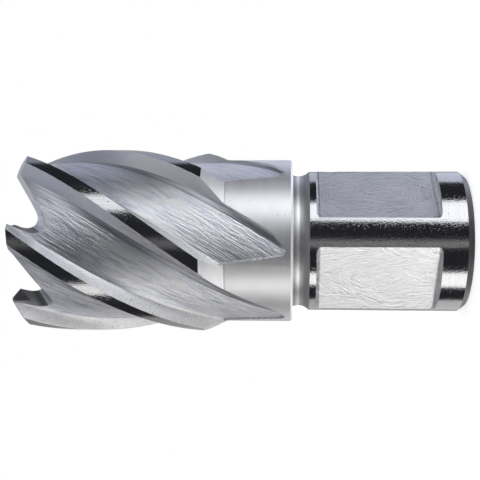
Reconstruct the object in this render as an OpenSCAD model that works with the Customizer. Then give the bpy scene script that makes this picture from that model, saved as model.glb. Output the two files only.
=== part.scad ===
// Annular cutter: a hollow hole-cutting tool ground from one bar of high-speed steel.
// It stands on the end of its shank, teeth up, with the tool axis on Z and all sizes in millimetres.

/* [Shank] */
// diameter of the ground shank that fits the arbor
shank_d = 19.05; // [18.9:0.05:19.2]
// length from the shank end to the start of the neck
shank_len = 20.9; // [20.4:0.1:21.4]
// axial length of the chamfer on the shank end
shank_chamfer_len = 0.9; // [0.4:0.1:1.6]
// radial width of the chamfer on the shank end
shank_chamfer = 0.7; // [0.3:0.1:1.2]

/* [Drive flats] */
// depth of each flat below the shank surface
flat_depth = 1.58; // [0.8:0.02:2]
// distance from the shank end to the near wall of a flat
flat_start = 4.05; // [3:0.05:6]
// length of a flat along the axis
flat_len = 16; // [10:0.5:16]
// radius between a flat and its end walls
flat_fillet = 0.5; // [0.2:0.1:0.7]
// angle between the two flats about the axis
flat_angle = 90; // [75:5:120]

/* [Neck and collar] */
// radius at the bottom of the neck groove
neck_r = 8.9; // [8.4:0.05:9.2]
// radius of the rounded wheel that cuts the neck groove
neck_groove_r = 1.9; // [1.6:0.1:2.2]
// length of the neck between shank and collar
neck_len = 2.2; // [1.9:0.1:2.6]
// diameter of the plain collar
collar_d = 22.16; // [21.6:0.04:22.8]
// length of the plain collar
collar_len = 8.86; // [8:0.02:10]
// chamfer on the collar edge towards the neck
collar_chamfer = 0.25; // [0.1:0.05:0.5]
// radius in the corner between collar and cone
collar_fillet = 0.8; // [0.4:0.1:1.2]
// length of the cone from collar to cutting head
cone_len = 3.04; // [2.4:0.02:4]

/* [Cutting head] */
// diameter over the lands, the size of hole the tool cuts
cut_d = 25; // [24.6:0.1:25.6]
// length of the lands from the cone to the highest tooth point
head_len = 25.49; // [24:0.01:27]
// diameter of the hollow that takes the slug
slug_d = 17.8; // [17.2:0.1:18.4]
// depth of the hollow below the highest tooth point, at its wall
slug_depth = 26; // [24:0.5:27]
// slope of the drilled floor of the hollow
slug_floor_deg = 31; // [20:1:35]

/* [Pilot bore] */
// diameter of the bore for the pilot pin
bore_d = 6.4; // [6:0.1:8]
// countersink on the bore at the shank end
bore_chamfer = 0.5; // [0.2:0.1:1]

/* [Flutes] */
// number of flutes and teeth
teeth = 6; // [6:2:6]
// axial length of one full turn of the flutes
lead = 113.8; // [105:0.2:125]
// width of a land around the axis, in degrees
land_deg = 8.4; // [7:0.1:10]
// turn of the first tooth about the axis
tooth_turn = -43.7; // [-90:0.1:90]
// radius at the foot of the wall below a cutting edge
foot_r = 10.85; // [10.8:0.05:11]
// how far the foot of the wall leads the cutting edge, in degrees
foot_deg = 3.2; // [2:0.1:5]
// crown of the flute floor above the straight line across it
floor_crown = 0.4; // [0.3:0.02:0.5]
// radius at the back edge of the flute floor
back_r = 10.7; // [10.6:0.02:10.8]
// distance of that edge behind a land, in degrees
back_deg = 12.1; // [10:0.1:14]
// radius at the top of the fillet between the floor and the relief behind a land
fillet_r = 10.86; // [10.82:0.02:10.94]
// distance of the top of that fillet behind a land, in degrees
fillet_deg = 6.5; // [5:0.1:8]
// slope at which that fillet starts to rise from the floor, as a share of its mean slope
fillet_roll = 0.5; // [0.2:0.02:0.8]
// length of the run-out in which a flute narrows, from the end face of the collar
runout_len = 9.3; // [8.5:0.1:10]
// how fast a flute narrows in its run-out, in degrees per millimetre
runout_rate = 3.95; // [3.5:0.05:4.2]
// length of the run-out of the fillet behind a land, from the end face of the collar
tail_len = 3.5; // [3:0.1:4]
// how fast that fillet closes in its run-out, in degrees per square millimetre
tail_rate = 0.8; // [0.6:0.05:1]
// distance of the tip of a flute from the end face of the collar
tip_gap = 1.2; // [0.8:0.1:1.6]

/* [Gullets] */
// radius at the root of a gullet
gullet_root_r = 1.6; // [0.8:0.1:2]
// lean of the gullet face from the axis
gullet_face_deg = 24.5; // [15:0.5:30]
// slope of the gullet floor across its width
gullet_floor_deg = 5; // [0:0.5:10]
// downward slope of a gullet towards the outside
gullet_tilt = 35; // [28:1:40]
// swing of a gullet away from the radial direction
gullet_swing = 25.6; // [10:0.2:35]
// turn of a gullet about the axis from the cutting edge
gullet_turn = -1.44; // [-4:0.02:2]
// distance of the gullet reference point below the highest tooth point
gullet_depth = 3.58; // [3.4:0.01:3.9]
// place of the gullet corner across the gullet, from the reference point
gullet_corner_across = 3.307; // [3.1:0.001:3.5]
// place of the gullet corner above the reference point
gullet_corner_up = 3.323; // [3.1:0.001:3.5]

/* [Teeth] */
// radius of the tooth point
point_r = 9.85; // [9.6:0.05:10.2]
// turn of the tooth point from the cutting edge, in degrees
point_turn = -0.5; // [-2:0.1:1]
// outward slope of a high tooth
high_slope = 31.4; // [20:0.2:40]
// inward slope of a high tooth
high_inner = 49; // [40:0.5:58]
// relief behind the outer edge of a high tooth
high_relief = 12; // [5:0.5:15]
// how much shorter every second, flatter tooth is
low_drop = 0.55; // [0.2:0.05:0.9]
// outward slope of a flat tooth
low_slope = 9.7; // [5:0.1:20]
// inward slope of a flat tooth
low_inner = 16.6; // [8:0.2:25]
// relief behind the outer edge of a flat tooth
low_relief = 6.7; // [4:0.1:12]
// relief behind the inner edge of every tooth
inner_relief = 0; // [0:0.5:8]
// opening of the notch ground into the tooth face at its point
notch_deg = 105; // [80:1:120]
// reach of that notch behind the tooth face
notch_reach = 2.6; // [2.2:0.1:3]
// outward lean of that notch towards its lower end
notch_lean = 7.7; // [4:0.1:10]

/* [Hidden] */
$fn = 96;
shank_r = shank_d / 2;
collar_r = collar_d / 2;
cut_r = cut_d / 2;
slug_r = slug_d / 2;
bore_r = bore_d / 2;
neck_mid_z = shank_len + neck_len * 0.64;
collar_z = shank_len + neck_len;
cone_z = collar_z + collar_len;
head_z = cone_z + cone_len;
top_z = head_z + head_len;
slug_z = top_z - slug_depth;
floor_z = slug_z - (slug_r - bore_r) * tan(slug_floor_deg);
cone_deg = atan((cut_r - collar_r) / cone_len);
fillet_run = collar_fillet * tan(cone_deg / 2);
pitch = 360 / teeth;
twist = 360 / lead;
// the teeth are set out at this height
set_z = top_z - 0.49;
// half the sideways reach of the end cutters
reach = cut_r + 4;
// small overlap where an arc runs into a straight line
overlap = 0.004;

function polar(r, a) = [r * cos(a), r * sin(a)];
function along(a, b, f) = a + (b - a) * f;

// corners of the flute section, counted from the cutting edge behind the flute
heel_deg = pitch - land_deg;
back_at = heel_deg - back_deg;
runout_z = collar_z + runout_len;
tail_z = collar_z + tail_len;
tip_z = collar_z + tip_gap;
floor_steps = 8;

// how far the wall has moved across the flute at a height in the run-out
function wall_shift(z) = z < runout_z ? min(runout_rate * (runout_z - z), back_at - foot_deg - 2) : 0;
// how far the fillet behind the land has closed in at a height
function tail_shift(z) =
    z < tail_z ? min(tail_rate * pow(tail_z - z, 2), back_deg - fillet_deg - 0.8) : 0;
// how far the grinding wheel has lifted out at a height
function lift(z) = z < tip_z ? tip_z - z : 0;

// outline of a flute across the axis at a height, from the closing point around the floor
function flute_outline(z) =
    let (w = wall_shift(z),
         t = tail_shift(z),
         up = lift(z),
         edge = polar(cut_r, w),
         foot = polar(foot_r + up, foot_deg + w),
         back = polar(back_r + up, back_at),
         fillet_now = fillet_r + up,
         fillet_at = heel_deg - fillet_deg - t,
         fillet = polar(fillet_now, fillet_at),
         heel = polar(cut_r, heel_deg - t),
         crown = floor_crown * pow(1 - w / (back_at - foot_deg), 2))
    concat(
        [polar(cut_r + 1.2, pitch * 0.42 + w / 2)],
        [along(edge, foot, -0.35), along(edge, foot, 0.5), along(edge, foot, 0.86)],
        [for (i = [0 : floor_steps])
            let (f = 0.018 + 0.982 * i / floor_steps,
                 p = along(foot, back, f),
                 a = atan2(p[1], p[0]))
            polar(norm(p) + crown * 4 * f * (1 - f), a)],
        [for (f = [0.3, 0.62, 0.95])
            polar(along(back_r + up, fillet_now, f * along(fillet_roll, 1, f)),
                  along(back_at, fillet_at, f))],
        [along(fillet, heel, 0.06), along(fillet, heel, 0.5), along(fillet, heel, 1.3)]);

flute_n = len(flute_outline(top_z));

// heights of the flute sections: close in the run-out, wider along the head
run_steps = 12;
head_steps = 23;
flute_zs = concat(
    [for (i = [0 : run_steps - 1]) along(collar_z, runout_z, i / run_steps)],
    [for (i = [0 : head_steps]) along(runout_z, top_z + 1.5, i / head_steps)]);

function flute_section(z) =
    let (turn = twist * (z - set_z))
    [for (p = flute_outline(z))
        [p[0] * cos(turn) - p[1] * sin(turn), p[0] * sin(turn) + p[1] * cos(turn), z]];

// body of revolution with the pilot bore and the hollow for the slug
module turned_blank() {
    rotate_extrude() difference() {
        polygon([
            [bore_r + bore_chamfer, 0],
            [shank_r - shank_chamfer, 0],
            [shank_r, shank_chamfer_len],
            [shank_r, collar_z],
            [collar_r - collar_chamfer, collar_z],
            [collar_r, collar_z + collar_chamfer],
            [collar_r, cone_z],
            [cut_r, head_z],
            [cut_r, top_z + 0.5],
            [slug_r, top_z + 0.5],
            [slug_r, slug_z],
            [bore_r, floor_z],
            [bore_r, bore_chamfer]]);
        translate([neck_r + neck_groove_r, neck_mid_z])
            intersection() {
                circle(neck_groove_r);
                translate([-neck_groove_r - 1, -neck_groove_r - 1])
                    square([2 * neck_groove_r + 2, neck_groove_r + 1 + collar_z - neck_mid_z]);
            }
    }
    // rounded corner between collar and cone
    rotate_extrude() difference() {
        polygon([
            [collar_r - 0.3, cone_z - fillet_run],
            [collar_r, cone_z - fillet_run],
            [collar_r + collar_fillet * (1 - cos(cone_deg)), cone_z + fillet_run * cos(cone_deg)],
            [collar_r - 0.3, cone_z + fillet_run * cos(cone_deg)]]);
        translate([collar_r + collar_fillet, cone_z - fillet_run])
            circle(collar_fillet);
    }
}

// one flute: the path of the grinding wheel, swept along the helix and lifted out in the collar
module flute() {
    rows = len(flute_zs);
    pts = [for (z = flute_zs) each flute_section(z)];
    sides = [for (r = [0 : rows - 2]) for (i = [0 : flute_n - 1])
        let (j = (i + 1) % flute_n,
             a = r * flute_n + i,
             b = r * flute_n + j,
             c = a + flute_n,
             d = b + flute_n)
        each [[a, b, c], [b, d, c]]];
    bottom = [for (i = [0 : flute_n - 1]) (flute_n - i) % flute_n];
    top = [for (i = [0 : flute_n - 1]) (rows - 1) * flute_n + i];
    polyhedron(points = pts, faces = concat([bottom], sides, [top]), convexity = 6);
}

// one gullet: flat face, rounded root and sloping floor, cut outwards and down
module gullet() {
    face = [sin(gullet_face_deg), cos(gullet_face_deg)];
    floor = [cos(gullet_floor_deg), sin(gullet_floor_deg)];
    corner = [gullet_corner_across, gullet_corner_up];
    half = (90 - gullet_face_deg - gullet_floor_deg) / 2;
    tangent = gullet_root_r / tan(half);
    mid = corner + gullet_root_r / sin(half)
          * [cos(half + gullet_floor_deg), sin(half + gullet_floor_deg)];
    rotate([0, 0, gullet_turn])
        translate([0, 0, top_z - gullet_depth])
            rotate([0, 0, -gullet_swing])
                rotate([0, gullet_tilt, 0])
                    translate([-4, 0, 0])
                        rotate([90, 0, 90])
                            linear_extrude(16) {
                                polygon([
                                    mid,
                                    corner + tangent * floor,
                                    corner + 14 * floor,
                                    [corner[0] + 14, 14],
                                    corner + 11.5 * face,
                                    corner + tangent * face]);
                                translate(mid) circle(gullet_root_r + overlap);
                            }
}

// wedge that keeps the end cuts of a tooth to its own share of the rim
module tooth_sector() {
    translate([0, 0, top_z - 8])
        linear_extrude(14)
            polygon([[0, 0], polar(2 * reach, 25 - pitch),
                     polar(2 * reach, 25 - pitch / 2), polar(2 * reach, 25)]);
}

// everything above a slanting plane through the tooth point
module above_plane(z, slope, relief) {
    translate(concat(polar(point_r, point_turn), [z]))
        rotate([relief, slope, 0])
            translate([-reach, -reach, 0])
                cube([2 * reach, 2 * reach, 10]);
}

// end cuts of one tooth: outer and inner relief, and the notch at the point
module tooth_end(z, slope, inner, relief) {
    intersection() {
        tooth_sector();
        union() {
            above_plane(z, slope, relief);
            above_plane(z, -inner, inner_relief);
        }
    }
    translate(concat(polar(point_r, point_turn), [z]))
        rotate([0, -notch_lean, 0])
            translate([0, 0, -3.2])
                linear_extrude(6)
                    polygon([[0, 0], polar(notch_reach, 90 - notch_deg / 2),
                             polar(notch_reach, 90 + notch_deg / 2)]);
}

// one drive flat, milled with rounded corners at both ends
module drive_flat() {
    h = shank_r - flat_depth;
    translate([h, 0, flat_start])
        rotate([90, 0, 0])
            translate([0, 0, -shank_r])
                linear_extrude(2 * shank_r) {
                    translate([flat_fillet, 0]) square([flat_depth + 1, flat_len]);
                    translate([0, flat_fillet]) square([flat_depth, flat_len - 2 * flat_fillet]);
                    translate([flat_fillet, flat_fillet]) circle(flat_fillet);
                    translate([flat_fillet, flat_len - flat_fillet]) circle(flat_fillet);
                }
}

// the whole cutter: blank less flats, flutes, gullets and tooth ends
module cutter_body() {
    color("silver")
        difference() {
            turned_blank();
            drive_flat();
            rotate([0, 0, -flat_angle]) drive_flat();
            for (k = [0 : teeth - 1]) rotate([0, 0, tooth_turn + k * pitch]) flute();
            for (k = [0 : teeth - 1]) rotate([0, 0, tooth_turn + k * pitch]) gullet();
            for (k = [0 : 2 : teeth - 1]) {
                rotate([0, 0, tooth_turn + k * pitch])
                    tooth_end(top_z - low_drop, low_slope, low_inner, low_relief);
                rotate([0, 0, tooth_turn + (k + 1) * pitch])
                    tooth_end(top_z, high_slope, high_inner, high_relief);
            }
        }
}

cutter_body();
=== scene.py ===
import math

import bpy
from mathutils import Matrix, Vector


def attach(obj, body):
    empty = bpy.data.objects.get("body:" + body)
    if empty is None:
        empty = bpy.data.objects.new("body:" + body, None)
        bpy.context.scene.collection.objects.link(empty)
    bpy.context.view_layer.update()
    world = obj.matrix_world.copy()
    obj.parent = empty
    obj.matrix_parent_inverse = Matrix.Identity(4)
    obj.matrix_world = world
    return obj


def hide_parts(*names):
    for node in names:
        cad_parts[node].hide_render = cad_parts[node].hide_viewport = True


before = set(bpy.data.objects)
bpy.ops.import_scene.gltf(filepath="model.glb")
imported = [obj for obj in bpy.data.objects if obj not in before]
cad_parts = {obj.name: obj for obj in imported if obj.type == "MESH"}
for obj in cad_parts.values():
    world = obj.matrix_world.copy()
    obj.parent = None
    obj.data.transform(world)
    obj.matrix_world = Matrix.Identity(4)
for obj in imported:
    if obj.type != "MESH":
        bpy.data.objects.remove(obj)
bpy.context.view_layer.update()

# CUTTER BODY
# One bar of high-speed steel, turned to a shank, collar and hollow head, then hardened.
# Flutes, gullets and tooth ends are ground with a wheel, the two drive flats are milled,
# and the shank and the narrow lands are finish ground to a near mirror.

# sizes in mm and degrees; heights (Z) run from the end of the shank to the teeth
MM = 0.001
NEAR = 0.02
CHAMFER_TOP_Z = 2.0
FLAT_H = 7.945
SHANK_TOP_Z = 20.9
COLLAR_Z = 23.1
CONE_Z = 31.96
HEAD_Z = 35.0
TOOTH_LOW_Z = 57.5
COLLAR_R = 11.08
CUT_R = 12.5
CONE_RISE = (CUT_R - COLLAR_R) / (HEAD_Z - CONE_Z)
SLUG_R = 8.9
SLUG_FLOOR_LOW_Z, SLUG_FLOOR_HIGH_Z = 31.0, 34.6
PILOT_MOUTH_R = 3.9
TWIST_DEG = 360 / 113.8
TOOTH_TURN, TOOTH_TURN_Z = -43.7, 60.0
PITCH_DEG = 60.0
FLOOR_BACK_DEG = 39.5

bpy.ops.object.select_all(action="DESELECT")
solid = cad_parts["cutter_body"]
cutter = bpy.data.objects.new("annular_cutter", solid.data.copy())
bpy.context.scene.collection.objects.link(cutter)
bpy.context.view_layer.objects.active = cutter
cutter.select_set(True)
bpy.ops.object.mode_set(mode="EDIT")
bpy.ops.mesh.select_all(action="SELECT")
bpy.ops.mesh.customdata_custom_splitnormals_clear()
bpy.ops.mesh.remove_doubles(threshold=2e-6)
bpy.ops.object.mode_set(mode="OBJECT")
bpy.ops.object.shade_smooth_by_angle(angle=math.radians(24))


def finish_of(face):
    """Which of the tool's finishes a face has, from where it lies and which way it faces."""
    x, y, z = (c / MM for c in face.center)
    n = face.normal
    r = math.hypot(x, y)
    out = (n.x * x + n.y * y) / max(r, 1e-6)
    slug_floor = SLUG_FLOOR_LOW_Z < z < SLUG_FLOOR_HIGH_Z and r < SLUG_R - NEAR and n.z > 0.3
    if r < PILOT_MOUTH_R or (out < -0.4 and r < SLUG_R + 0.05) or slug_floor:
        return "bored"
    if z < SHANK_TOP_Z + NEAR:
        if z < NEAR:
            return "turned"
        if n.z < -0.2 and z < CHAMFER_TOP_Z:
            return "chamfer"
        on_first_flat = n.x > 0.995 and abs(x - FLAT_H) < 0.05
        on_second_flat = n.y < -0.995 and abs(y + FLAT_H) < 0.05
        end_of_flat = abs(n.z) > 0.2
        return "milled" if on_first_flat or on_second_flat or end_of_flat else "shank"
    if z < COLLAR_Z + NEAR:
        return "turned" if n.z < -0.98 else "neck"
    if z < COLLAR_Z + 0.3 and r > COLLAR_R - 0.3:
        return "collar"
    outside_r = COLLAR_R + max(0.0, z - CONE_Z) * CONE_RISE
    if z < HEAD_Z and r > COLLAR_R - 0.26 and abs(r - outside_r) < 0.08:
        return "collar"
    if r > CUT_R - 0.04 and out > 0.9:
        return "land"
    side = (-n.x * y + n.y * x) / r
    climb = math.radians(TWIST_DEG) * r
    off_helix = abs(side * climb + n.z) / math.hypot(climb, 1)
    if z > HEAD_Z and off_helix > 0.06:
        if n.z > 0.35:
            return "tooth" if z > TOOTH_LOW_Z else "flute"
        return "rake"
    if abs(side) > 0.45:
        return "wall" if side > 0 else "relief"
    untwisted = math.degrees(math.atan2(y, x)) - TWIST_DEG * (z - TOOTH_TURN_Z)
    return "fillet" if (untwisted - TOOTH_TURN) % PITCH_DEG > FLOOR_BACK_DEG else "flute"


FINISHES = ["shank", "chamfer", "milled", "turned", "neck", "collar", "land",
            "flute", "wall", "fillet", "relief", "tooth", "rake", "bored"]
cutter.data.materials.clear()
for name in FINISHES:
    cutter.data.materials.append(bpy.data.materials.new("steel_" + name))
for face in cutter.data.polygons:
    face.material_index = FINISHES.index(finish_of(face))


class Nodes:
    """Places and joins nodes in one node tree."""

    def __init__(self, tree):
        self.tree = tree

    def add(self, kind, inputs=(), **settings):
        node = self.tree.nodes.new(kind)
        for key, value in settings.items():
            setattr(node, key, value)
        for key, value in dict(inputs).items():
            self.put(node.inputs[key], value)
        return node

    def put(self, socket, value):
        if isinstance(value, bpy.types.NodeSocket):
            self.tree.links.new(value, socket)
        else:
            socket.default_value = value

    def math(self, operation, *values):
        return self.add("ShaderNodeMath", dict(enumerate(values)), operation=operation).outputs[0]

    def vector(self, operation, *values):
        node = self.add("ShaderNodeVectorMath", dict(enumerate(values)), operation=operation)
        return node.outputs["Value" if operation in ("DOT_PRODUCT", "LENGTH") else "Vector"]

    def xyz(self, x, y, z):
        return self.add("ShaderNodeCombineXYZ", {"X": x, "Y": y, "Z": z}).outputs[0]

    def split(self, vector):
        return self.add("ShaderNodeSeparateXYZ", {0: vector}).outputs

    def object_place(self):
        return self.add("ShaderNodeTexCoord").outputs["Object"]

    def object_mm(self):
        return self.vector("MULTIPLY", self.object_place(), (1 / MM, 1 / MM, 1 / MM))

    def between(self, value, low, high, to_low=0.0, to_high=1.0, smooth=False):
        """A value carried from one range to another, and held at its ends."""
        node = self.add("ShaderNodeMapRange",
                        {"Value": value, "From Min": low, "From Max": high,
                         "To Min": to_low, "To Max": to_high},
                        interpolation_type="SMOOTHSTEP" if smooth else "LINEAR")
        return node.outputs["Result"]

    def ramp(self, value, *points):
        """A value that runs straight from point to point, each a place and a level."""
        level = points[0][1]
        for (low, before), (high, after) in zip(points, points[1:]):
            level = self.math("ADD", level, self.between(value, low, high, 0.0, after - before))
        return level

    def noise(self, vector, scale, detail=2.0, rough=0.5):
        return self.add("ShaderNodeTexNoise", {"Vector": vector, "Scale": scale, "Detail": detail,
                                               "Roughness": rough}).outputs["Fac"]


def new_group(name, inputs, values, normals=()):
    """An empty shader node group, its nodes, and the sockets at its two ends.

    An input with no plain value is a place."""
    group = bpy.data.node_groups.new(name, "ShaderNodeTree")
    for label, value in inputs.items():
        kind = "NodeSocketVector" if value is None else "NodeSocketFloat"
        socket = group.interface.new_socket(label, in_out="INPUT", socket_type=kind)
        if value is not None:
            socket.default_value = value
    for label in values:
        group.interface.new_socket(label, in_out="OUTPUT", socket_type="NodeSocketFloat")
    for label in normals:
        group.interface.new_socket(label, in_out="OUTPUT", socket_type="NodeSocketVector")
    n = Nodes(group)
    return group, n, n.add("NodeGroupInput").outputs, n.add("NodeGroupOutput").inputs


# where a point lies on the tool: radius and height in mm, turn about the axis in radians,
# and the way round to it in mm, from the flats or from the start of its own flute
tool_place, n, _, end = new_group(
    "tool_place", {}, ["Radius", "Turn", "Height", "Arc", "Flute arc"], ["Outwards"])
mm_place = n.object_mm()
axes = n.split(mm_place)
flat_place = n.vector("MULTIPLY", mm_place, (1, 1, 0))
radius = n.vector("LENGTH", flat_place)
turn = n.math("ARCTAN2", axes["Y"], axes["X"])
twist = n.math("MULTIPLY", n.math("SUBTRACT", axes["Z"], TOOTH_TURN_Z), TWIST_DEG)
untwisted = n.math("SUBTRACT", n.math("DEGREES", turn), twist)
flute_turn = n.math("FLOORED_MODULO", n.math("SUBTRACT", untwisted, TOOTH_TURN), PITCH_DEG)
n.put(end["Radius"], radius)
n.put(end["Turn"], turn)
n.put(end["Height"], axes["Z"])
n.put(end["Arc"], n.math("MULTIPLY", turn, radius))
n.put(end["Flute arc"], n.math("MULTIPLY", n.math("RADIANS", flute_turn), radius))
n.put(end["Outwards"], n.vector("NORMALIZE", flat_place))

# fine lines left by a wheel or a cutter: close across the first axis of the place, long along
# the second; marks show between two levels of the noise
FAINT, FULL = 0.3, 0.7
tool_lines, n, start, end = new_group(
    "tool_lines", {"Fine": 9.0, "Long": 0.25, "Wander": 0.4, "Place": None}, ["Lines", "Drift"])
place = n.split(start["Place"])
waver = n.math("SUBTRACT", n.noise(start["Place"], 0.35), 0.5)
across = n.math("MULTIPLY_ADD", waver, start["Wander"], place["X"])
stretched = n.xyz(n.math("MULTIPLY", across, start["Fine"]),
                  n.math("MULTIPLY", place["Y"], start["Long"]), place["Z"])
broad = n.vector("MULTIPLY", stretched, (0.12, 0.6, 0.3))
n.put(end["Lines"], n.between(n.noise(stretched, 1.0, 3.0, 0.6), FAINT, FULL))
n.put(end["Drift"], n.between(n.noise(broad, 1.0), FAINT, FULL))

# rounded edges, where the sharp corner has been knocked off and catches the light. The finishes
# also paint the edges lighter with the edge mask, partly as wear and partly as painted highlight
MICRON = 0.000001
TURNED_EDGE, GROUND_EDGE, SOFT_CORNER = 90 * MICRON, 60 * MICRON, 200 * MICRON
worn_and_highlit_edge, n, start, end = new_group("worn_and_highlit_edge", {"Width": TURNED_EDGE}, ["Edge"], ["Normal"])
rounded = n.add("ShaderNodeBevel", {"Radius": start["Width"]}, samples=6).outputs["Normal"]
facing = n.vector("DOT_PRODUCT", rounded, n.add("ShaderNodeNewGeometry").outputs["Normal"])
n.put(end["Edge"], n.between(facing, 0.995, 0.86))
n.put(end["Normal"], rounded)

# even fine grain of a hardened and ground surface, the few small pits in it, and its specks
steel_grain, n, start, end = new_group("steel_grain", {"Pits": 0.3}, ["Grain", "Pit", "Speck"])
mm_place = n.object_mm()
spots = n.add("ShaderNodeTexVoronoi", {"Vector": mm_place, "Scale": 1.1}).outputs
small = n.between(spots["Distance"], 0.06, 0.13, 1.0, 0.0)
chosen = n.math("LESS_THAN", n.split(spots["Color"])["X"], start["Pits"])
n.put(end["Grain"], n.between(n.noise(mm_place, 4.5, 2.0, 0.6), FAINT, FULL))
n.put(end["Pit"], n.math("MULTIPLY", small, chosen))
n.put(end["Speck"], n.between(n.noise(mm_place, 6.0, 1.0, 0.4), 0.60, 0.76))


class Steel(Nodes):
    """The nodes of one finish of the steel: its shader, its place on the tool and its grain."""

    def __init__(self, finish, pits):
        material = bpy.data.materials["steel_" + finish]
        material.use_nodes = True
        material.node_tree.nodes.clear()
        super().__init__(material.node_tree)
        self.shader = self.add("ShaderNodeBsdfPrincipled", {"Metallic": 1.0})
        self.put(self.add("ShaderNodeOutputMaterial").inputs["Surface"], self.shader.outputs[0])
        place = self.add("ShaderNodeGroup", node_tree=tool_place).outputs
        self.radius, self.height, self.arc = place["Radius"], place["Height"], place["Arc"]
        self.turn, self.flute_arc = place["Turn"], place["Flute arc"]
        self.outwards = place["Outwards"]
        skin = self.add("ShaderNodeGroup", {"Pits": pits}, node_tree=steel_grain).outputs
        self.grain, self.pit, self.speck = skin["Grain"], skin["Pit"], skin["Speck"]

    def lines(self, place, fine, long, wander):
        """Tool lines at a place, and the slow drift of their shade."""
        lines = self.add("ShaderNodeGroup", {"Fine": fine, "Long": long, "Wander": wander},
                         node_tree=tool_lines)
        self.put(lines.inputs["Place"], place)
        return lines.outputs["Lines"], lines.outputs["Drift"]

    def rings(self, fine, long):
        """Lines that run round the tool axis."""
        step = self.math("ADD", self.height, self.radius)
        return self.lines(self.xyz(step, self.arc, 0.0), fine, long, 0.3)

    def streaks(self, fine, long, wander):
        """Lines that run along the flutes."""
        return self.lines(self.xyz(self.flute_arc, self.height, self.radius), fine, long, wander)

    def ring_at(self, height, core, fade, smooth=True):
        """A mark round the tool at one height, full to its core and gone at its fade."""
        away = self.math("ABSOLUTE", self.math("SUBTRACT", self.height, height))
        return self.between(away, core, fade, 1.0, 0.0, smooth)

    # the edge mask, which paints the edges lighter, partly as wear and partly as painted highlight
    def edge(self, width):
        return self.add("ShaderNodeGroup", {"Width": width}, node_tree=worn_and_highlit_edge).outputs["Edge"]

    def soft_normal(self, width):
        """The surface direction with its corners rounded over the given width."""
        return self.add("ShaderNodeGroup", {"Width": width}, node_tree=worn_and_highlit_edge).outputs["Normal"]

    def level(self, base, *changes, marks=()):
        """A base that goes up and down with each change, and moves at each mark, by its weight."""
        for value, weight in changes:
            base = self.math("MULTIPLY_ADD", self.math("SUBTRACT", value, 0.5), weight, base)
        for value, weight in marks:
            base = self.math("MULTIPLY_ADD", value, weight, base)
        return base

    def colour(self, value, green=1.0, blue=1.012):
        self.put(self.shader.inputs["Base Color"],
                 self.vector("MULTIPLY", value, (1.0, green, blue)))

    def roughness(self, value):
        self.put(self.shader.inputs["Roughness"], value)

    def bump(self, depth, *heights, normal=None):
        """Small unevenness of the given depth, from heights by their weights."""
        total = 0.0
        for value, weight in heights:
            total = self.math("MULTIPLY_ADD", value, weight, total)
        bump = self.add("ShaderNodeBump", {"Height": total, "Distance": depth})
        if normal is not None:
            self.put(bump.inputs["Normal"], normal)
        self.put(self.shader.inputs["Normal"], bump.outputs["Normal"])


# shank: finish ground, nearly a mirror, with faint rings
n = Steel("shank", pits=0.25)
rings, drift = n.rings(9.0, 0.12)
n.colour(n.level(0.47, (rings, 0.05), marks=[(n.edge(TURNED_EDGE), 0.1), (n.pit, -0.15)]))
n.roughness(n.level(0.09, (rings, 0.05), (drift, 0.04)))
n.bump(22 * MICRON, (rings, 0.05), (n.grain, 0.2), (n.speck, 0.22), (n.pit, -0.3))

# chamfer at the end of the shank: turned before hardening, and painted dark as painted shade
n = Steel("chamfer", pits=0.3)
rings, drift = n.rings(8.0, 0.08)
n.colour(n.level(0.10, (rings, 0.05), (drift, 0.03),
                 marks=[(n.edge(TURNED_EDGE), 0.10), (n.pit, -0.05)]))
n.roughness(n.level(0.30, (rings, 0.08), (drift, 0.05)))
n.bump(10 * MICRON, (rings, 0.4), (n.grain, 0.3))

# drive flats: milled satin. The curved sweeps of the cutter lie in patches, in a coarse and a
# fine layer, and each patch strays a little from the slant of its place on the flat.
FLAT_MID_Z = 12.0
FLAT_END_LOW_Z, FLAT_END_HIGH_Z = 19.5, 19.62
QUARTER = math.pi / 2
FLATS_APART = 90.0
SWEEP_ACROSS, SWEEP_UP = 16.0, 90.0
STRAY = 1.3
PATCHES_APART = 60.0
n = Steel("milled", pits=0.1)
from_edge = n.math("ADD", n.turn, QUARTER / 2)
from_middle = n.math("SUBTRACT", n.math("FLOORED_MODULO", from_edge, QUARTER), QUARTER / 2)
which_flat = n.math("FLOOR", n.math("DIVIDE", from_edge, QUARTER))
on_flat = n.xyz(n.math("MULTIPLY", n.math("TANGENT", from_middle), FLAT_H),
                n.math("SUBTRACT", n.height, FLAT_MID_Z), 0.0)
layers = []
for patch, shift, fine, long in ((3.6, 0.0, 3.6, 0.30), (2.4, 40.0, 5.5, 0.45)):
    apart = n.xyz(n.math("MULTIPLY_ADD", which_flat, FLATS_APART, shift), shift, 0.0)
    patches = n.add("ShaderNodeTexVoronoi",
                    {"Vector": n.vector("ADD", on_flat, apart), "Scale": 1 / patch},
                    voronoi_dimensions="2D").outputs
    middle = n.vector("SUBTRACT", patches["Position"], apart)
    chance = n.split(patches["Color"])
    slant = n.add("ShaderNodeVectorRotate",
                  {"Vector": n.vector("MULTIPLY", middle, (1 / SWEEP_ACROSS, 1 / SWEEP_UP, 0)),
                   "Angle": n.math("MULTIPLY", n.math("SUBTRACT", chance["X"], 0.5), STRAY)},
                  rotation_type="Z_AXIS").outputs[0]
    across = n.vector("NORMALIZE", slant)
    along = n.vector("CROSS_PRODUCT", (0, 0, 1), across)
    sweep_place = n.xyz(n.vector("DOT_PRODUCT", on_flat, across),
                        n.vector("DOT_PRODUCT", on_flat, along),
                        n.math("MULTIPLY", chance["Y"], PATCHES_APART))
    layers.append(n.lines(sweep_place, fine, long, 1.0))
(sweeps, drift), (fine_sweeps, _) = layers
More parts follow.
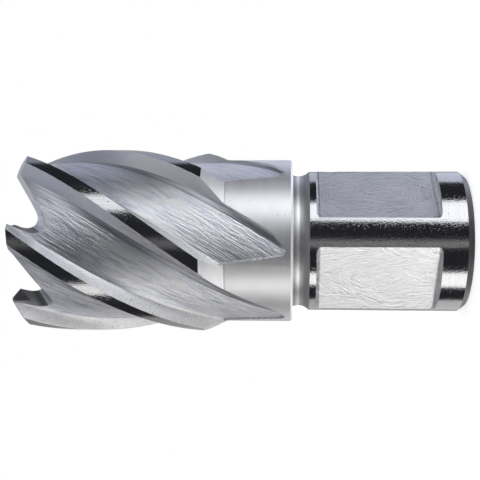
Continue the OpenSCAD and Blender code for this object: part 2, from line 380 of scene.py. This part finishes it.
# painted shade: the end of each flat is painted darker
flat_end_shade = n.between(n.height, FLAT_END_LOW_Z, FLAT_END_HIGH_Z)
n.colour(n.level(1.02, (sweeps, 0.34), (fine_sweeps, 0.30), (drift, 0.08),
                 marks=[(n.edge(TURNED_EDGE), 0.08), (n.pit, -0.2), (flat_end_shade, -0.6)]))
n.roughness(n.level(0.38, (sweeps, 0.08), (drift, 0.08)))
n.bump(36 * MICRON, (sweeps, 0.6), (fine_sweeps, 0.4), (n.grain, 0.15))

# end face of the shank and face of the collar: turned, with rings from the lathe tool
n = Steel("turned", pits=0.2)
rings, drift = n.rings(7.0, 0.05)
n.colour(n.level(0.56, (rings, 0.10), marks=[(n.edge(TURNED_EDGE), 0.15), (n.pit, -0.2)]))
n.roughness(n.level(0.46, (rings, 0.08), (drift, 0.05)))
n.bump(6 * MICRON, (rings, 0.4), (n.grain, 0.2))

# neck: a turned groove, with a painted highlight along its deepest line, painted shade towards the
# shank and a painted shadow in the corner at the collar
NECK_DEEP_Z, NECK_CORNER_Z = 22.35, 22.86
NECK_SHADE_HIGH_Z, NECK_SHADE_LOW_Z = 22.0, 21.4
n = Steel("neck", pits=0.2)
rings, drift = n.rings(5.0, 0.05)
deep_highlight = n.ring_at(NECK_DEEP_Z, 0.05, 0.26)
corner = n.ring_at(NECK_CORNER_Z, 0.05, 0.2)
shaded = n.between(n.height, NECK_SHADE_HIGH_Z, NECK_SHADE_LOW_Z, smooth=True)
n.colour(n.level(0.62, (rings, 0.06),
                 marks=[(deep_highlight, 0.40), (shaded, -0.16), (corner, -0.26), (n.pit, -0.1)]))
n.roughness(n.level(0.46, (rings, 0.06), (drift, 0.05)))
n.bump(5 * MICRON, (rings, 0.3), (n.grain, 0.2))

# collar and cone: fine turned satin, with a painted shadow line in the crease where the two meet,
# and the cone painted a little darker as painted shade
n = Steel("collar", pits=0.25)
rings, drift = n.rings(6.0, 0.06)
corner = n.ring_at(CONE_Z - 0.1, 0.05, 0.13, smooth=False)
cone = n.between(n.height, CONE_Z, CONE_Z + 0.2)
n.colour(n.level(0.96, (rings, 0.04), (drift, 0.04),
                 marks=[(n.pit, -0.25), (corner, -0.35), (cone, -0.14)]))
n.roughness(n.level(0.48, (rings, 0.04), (drift, 0.05)))
n.bump(4 * MICRON, (rings, 0.2), (n.grain, 0.25))

# narrow lands: ground with the outside of the head, a near mirror
n = Steel("land", pits=0.35)
fine, drift = n.lines(n.xyz(n.arc, n.height, n.radius), 5.0, 0.6, 0.4)
n.colour(n.level(0.49, (fine, 0.05), marks=[(n.edge(GROUND_EDGE), 0.12), (n.pit, -0.25)]))
n.roughness(n.level(0.09, (fine, 0.05), (drift, 0.04)))
n.bump(18 * MICRON, (fine, 0.08), (n.grain, 0.2), (n.speck, 0.24), (n.pit, -0.4),
       normal=n.outwards)

# flute floors: wheel ground, with coarse streaks along the helix, painted darker towards the teeth
# as painted shade, and tinted blue as painted reflection of bluish light.
# In the run-out the wheel lifted out, so the surface rolls a little to one side.
DIM_LOW_Z, DIM_HIGH_Z = 44.0, 52.0
RUN_OUT_HIGH_Z, RUN_OUT_LOW_Z = 38.0, 31.0
RUN_OUT_ROLL = 0.13
n = Steel("flute", pits=0.3)
streaks, drift = n.streaks(2.4, 0.26, 0.5)
fine, _ = n.streaks(5.5, 0.5, 0.3)
shade = n.between(n.height, DIM_LOW_Z, DIM_HIGH_Z, 0.94, 0.79)
n.colour(n.level(shade, (streaks, 0.36), (fine, 0.34), (drift, 0.08),
                 marks=[(n.edge(GROUND_EDGE), 0.05), (n.pit, -0.2)]), green=1.02, blue=1.10)
n.roughness(n.level(0.39, (streaks, 0.10), (drift, 0.06)))
sideways = n.vector("CROSS_PRODUCT", (0, 0, 1), n.outwards)
roll = n.between(n.height, RUN_OUT_HIGH_Z, RUN_OUT_LOW_Z, 0.0, RUN_OUT_ROLL)
rolled = n.vector("ADD", n.soft_normal(SOFT_CORNER), n.vector("MULTIPLY", sideways, roll))
n.bump(55 * MICRON, (streaks, 0.5), (fine, 0.5), (n.grain, 0.3), (n.pit, -0.3),
       normal=n.vector("NORMALIZE", rolled))

# wall below each cutting edge: ground by the rim of the wheel, pale and grainy, and rougher in its
# tail, where the flute runs out; painted palest near the tip, as painted highlight
TIP_LOW_Z, TIP_HIGH_Z = 50.0, 56.0
TAIL_HIGH_Z, TAIL_LOW_Z = 33.0, 31.5
n = Steel("wall", pits=0.7)
streaks, drift = n.streaks(3.0, 0.5, 0.3)
tail = n.between(n.height, TAIL_HIGH_Z, TAIL_LOW_Z)
shade = n.ramp(n.height, (40.0, 0.76), (TIP_LOW_Z, 0.78), (TIP_HIGH_Z, 1.0))
n.colour(n.level(shade, (streaks, 0.08), (n.grain, 0.20),
                 marks=[(n.edge(GROUND_EDGE), 0.05), (n.pit, -0.5)]))
n.roughness(n.level(0.50, (n.grain, 0.10), (drift, 0.05), marks=[(tail, 0.4)]))
n.bump(30 * MICRON, (streaks, 0.2), (n.grain, 0.6), (n.pit, -0.5),
       normal=n.soft_normal(SOFT_CORNER))

# fillet behind the floor: fine dark streaks where the wheel's corner ran, on a dark base that is
# partly painted shade, painted paler towards the tip as painted highlight, with a painted blue
# tint for bluish light
n = Steel("fillet", pits=0.2)
streaks, drift = n.streaks(3.4, 0.12, 0.3)
shade = n.between(n.height, TIP_LOW_Z, TIP_HIGH_Z, 0.56, 0.85)
n.colour(n.level(shade, (streaks, 0.55), (drift, 0.08),
                 marks=[(n.edge(GROUND_EDGE), 0.05), (n.pit, -0.2)]), green=1.025, blue=1.11)
n.roughness(n.level(0.44, (streaks, 0.10), (drift, 0.06)))
n.bump(30 * MICRON, (streaks, 0.6), (n.grain, 0.2))

# relief behind each land: ground to an even satin, painted darker towards the teeth as painted
# shade, with a painted blue tint for bluish light
n = Steel("relief", pits=0.3)
streaks, drift = n.streaks(7.0, 0.12, 0.2)
shade = n.between(n.height, DIM_LOW_Z, DIM_HIGH_Z, 1.0, 0.80)
n.colour(n.level(shade, (streaks, 0.05), (drift, 0.05),
                 marks=[(n.edge(GROUND_EDGE), 0.08), (n.pit, -0.3)]), green=1.015, blue=1.07)
n.roughness(n.level(0.52, (streaks, 0.06), (drift, 0.05)))
n.bump(5 * MICRON, (streaks, 0.3), (n.grain, 0.3), (n.pit, -0.5))

# tooth ends and rake faces, ground across the tooth: the tooth ends painted pale as painted light,
# and the rake faces painted darker as painted shade
for finish, shade, satin in (("tooth", 0.92, 0.58), ("rake", 0.32, 0.44)):
    n = Steel(finish, pits=0.2)
    slant = n.math("ADD", n.arc, n.height)
    strokes, drift = n.lines(n.xyz(slant, n.radius, 0.0), 6.0, 0.3, 0.2)
    n.colour(n.level(shade, (strokes, 0.12), (drift, 0.05),
                     marks=[(n.edge(GROUND_EDGE), 0.08), (n.pit, -0.2)]))
    n.roughness(n.level(satin, (strokes, 0.10), (drift, 0.05)))
    n.bump(8 * MICRON, (strokes, 0.5), (n.grain, 0.2))

# slug hollow and pilot bore: turned and drilled, a little darker
n = Steel("bored", pits=0.3)
rings, drift = n.rings(3.5, 0.04)
n.colour(n.level(0.54, (rings, 0.14), (drift, 0.10),
                 marks=[(n.edge(TURNED_EDGE), 0.15), (n.pit, -0.2)]))
n.roughness(n.level(0.36, (rings, 0.10), (drift, 0.08)))
n.bump(12 * MICRON, (rings, 0.6), (n.grain, 0.3))

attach(cutter, "root")
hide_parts("cutter_body")

# FLOOR
# A sheet of white card that the cutter stands on. The steel isn't shown the card, because
# in the studio the tool is held clear of it.

FLOOR_SIZE = 40
CARD_DARK, CARD_LIGHT = 0.90, 0.94
CARD_GRAIN = 900.0
CARD_GLOW = 0.76
bpy.ops.object.select_all(action="DESELECT")
bpy.ops.mesh.primitive_plane_add(size=FLOOR_SIZE, location=(0, 0, 0))
floor = bpy.context.object
floor.name = "floor"
floor.visible_glossy = False
card = bpy.data.materials.new("white_card")
card.use_nodes = True
n = Nodes(card.node_tree)
shader = card.node_tree.nodes["Principled BSDF"]
card_grain = n.noise(n.object_place(), CARD_GRAIN, 3.0)
n.put(shader.inputs["Base Color"], n.between(card_grain, 0.0, 1.0, CARD_DARK, CARD_LIGHT))
shader.inputs["Roughness"].default_value = 0.9
shader.inputs["Specular IOR Level"].default_value = 0.0
shader.inputs["Emission Color"].default_value = (1, 1, 1, 1)
shader.inputs["Emission Strength"].default_value = CARD_GLOW
floor.data.materials.append(card)

# LIGHT TENT
# Dark cloth around the front and sides of the tool, with two tall diffused windows in front and
# two at the sides, closed by a grey sheet behind. Its bands are what the ground steel mirrors.

# sizes in metres; angles in degrees from the side where the camera stands
CAMERA_SIDE = Vector((0.6205, -0.7842, 0)).normalized()
CAMERA_TURN = math.atan2(CAMERA_SIDE.y, CAMERA_SIDE.x)
TENT_R = 0.32
TENT_LOW, TENT_HIGH = -0.35, 0.50
BACK_SHEET_DEG = 150
SEAM = 0.002
SOFT_DEG = 1.5
CLOTH = (0.03, 0.0315, 0.037)
COOL, WARM, BLUE = (1.0, 1.015, 1.05), (1.01, 1.0, 0.99), (1.0, 1.05, 1.26)
SIDE_LEVELS = ((-0.12, 1.5), (-0.08, 1.0), (-0.03, 1.0), (0.12, 0.4))
# each window: where its near edge hangs and how it leans with height, the same for its far edge,
# its tint and brightness, and how it dims with height; the grey sheet hides the far edges of the
# side windows
WINDOWS = (
    (32.0, 33.0, 64.0, -60.0, COOL, 1.95, ((0.0, 1.0), (0.13, 0.7), (0.17, 0.7), (0.3, 1.0))),
    (-52.4, -26.0, -76.0, 45.0, WARM, 1.95, ((0.0, 1.0), (0.13, 0.7), (0.17, 0.6), (0.3, 0.4))),
    (111.0, 0.0, 160.0, 0.0, BLUE, 0.86, SIDE_LEVELS),
    (-110.0, 0.0, -160.0, 0.0, WARM, 0.78, SIDE_LEVELS))
STRIP_DEG, STRIP_CORE, STRIP_FADE, STRIP_GLOW = -4.0, 1.0, 9.0, 0.34

bpy.ops.object.select_all(action="DESELECT")
bpy.ops.mesh.primitive_cylinder_add(vertices=240, radius=TENT_R, depth=TENT_HIGH - TENT_LOW,
                                    end_fill_type="NGON",
                                    location=(0, 0, (TENT_HIGH + TENT_LOW) / 2))
tent = bpy.context.object
tent.name = "light_tent"
bpy.ops.object.transform_apply(location=True, rotation=True, scale=True)
tent.visible_camera = False
tent.visible_shadow = False
cloth = bpy.data.materials.new("tent_cloth")
cloth.use_nodes = True
cloth.node_tree.nodes.clear()
n = Nodes(cloth.node_tree)
height = n.split(n.object_place())["Z"]
flat_place = n.vector("MULTIPLY", n.object_place(), (1, 1, 0))
turned = n.split(n.add("ShaderNodeVectorRotate", {"Vector": flat_place, "Angle": -CAMERA_TURN},
                       rotation_type="Z_AXIS").outputs[0])
angle = n.math("DEGREES", n.math("ARCTAN2", turned["Y"], turned["X"]))
glow = CLOTH
for near, near_lean, far, far_lean, tint, bright, levels in WINDOWS:
    way = 1.0 if far > 0 else -1.0
    near_edge = n.math("MULTIPLY_ADD", height, near_lean, near)
    far_edge = n.math("MULTIPLY_ADD", height, far_lean, far)
    past_near = n.math("MULTIPLY", n.math("SUBTRACT", angle, near_edge), way)
    before_far = n.math("MULTIPLY", n.math("SUBTRACT", far_edge, angle), way)
    window = n.math("MULTIPLY", n.between(past_near, -SOFT_DEG, SOFT_DEG, smooth=True),
                    n.between(before_far, -SOFT_DEG, SOFT_DEG, smooth=True))
    window = n.math("MULTIPLY", window, n.ramp(height, *levels))
    lit = n.vector("MULTIPLY", window, tuple(part * bright for part in tint))
    glow = n.vector("ADD", glow, lit)
# a faint strip beside the camera, dimmer higher up
off_strip = n.math("ABSOLUTE", n.math("SUBTRACT", angle, STRIP_DEG))
strip = n.between(off_strip, STRIP_CORE, STRIP_FADE, STRIP_GLOW, 0.0, smooth=True)
strip = n.math("MULTIPLY", strip, n.between(height, 0.0, 0.1, 1.0, 0.45))
glow = n.vector("ADD", glow, strip)
# the plain sheets: behind the tool, over it, under it, and the white rim of the lowest one
behind = n.math("GREATER_THAN", n.math("ABSOLUTE", angle), BACK_SHEET_DEG)
over = n.math("GREATER_THAN", height, TENT_HIGH - SEAM)
under = n.math("LESS_THAN", height, TENT_LOW + SEAM)
rim = n.math("MULTIPLY", under, n.between(n.vector("LENGTH", flat_place), 0.105, 0.125))
for sheet, shade in ((behind, (0.50, 0.50, 0.50)), (over, (0.52, 0.54, 0.60)),
                     (under, (0.45, 0.45, 0.46)), (rim, (0.95, 0.95, 0.95))):
    hung = n.add("ShaderNodeMix", {"Factor": sheet}, data_type="RGBA")
    n.put(hung.inputs["A"], glow)
    hung.inputs["B"].default_value = (*shade, 1.0)
    glow = hung.outputs["Result"]
light = n.add("ShaderNodeEmission", {"Color": glow, "Strength": 1.0})
n.put(n.add("ShaderNodeOutputMaterial").inputs["Surface"], light.outputs[0])
tent.data.materials.append(cloth)

# ROOM
# The painted room around the tent. It is white to look at and in a mirror, and its walls light
# the card half as much.

ROOM_LIGHT, ROOM_WHITE = 0.5, 1.0
world = bpy.data.worlds.new("white_room")
bpy.context.scene.world = world
world.use_nodes = True
n = Nodes(world.node_tree)
walls = world.node_tree.nodes["Background"]
walls.inputs["Color"].default_value = (1, 1, 1, 1)
ray = n.add("ShaderNodeLightPath").outputs
mirrored = n.math("MAXIMUM", ray["Is Glossy Ray"], ray["Is Transmission Ray"])
seen = n.math("MAXIMUM", ray["Is Camera Ray"], mirrored)
n.put(walls.inputs["Strength"], n.between(seen, 0.0, 1.0, ROOM_LIGHT, ROOM_WHITE))

bpy.context.scene.view_settings.view_transform = "Standard"

# CAMERA
# A camera on a stand that looks nearly square on to the tool axis. It lies on its side, so the
# axis runs across the picture with the teeth to the left.

AXIS = Vector((0, 0, 1))
YAW, ROLL = 0.0548, 0.0039
CAMERA_PLACE = (0.07582, -0.09582, 0.023657)
level_up = AXIS.cross(CAMERA_SIDE)
level_right = -AXIS * math.cos(YAW) - CAMERA_SIDE * math.sin(YAW)
camera_back = -AXIS * math.sin(YAW) + CAMERA_SIDE * math.cos(YAW)
camera_right = level_right * math.cos(ROLL) + level_up * math.sin(ROLL)
camera_up = -level_right * math.sin(ROLL) + level_up * math.cos(ROLL)
camera_turn = Matrix((camera_right, camera_up, camera_back)).transposed().to_4x4()
lens = bpy.data.cameras.new("photo_camera")
lens.sensor_width = 36
lens.lens = 66.171
lens.shift_y = 0.00095
lens.clip_start = 0.005
camera = bpy.data.objects.new("photo_camera", lens)
bpy.context.scene.collection.objects.link(camera)
camera.matrix_world = Matrix.Translation(CAMERA_PLACE) @ camera_turn
bpy.context.scene.camera = camera
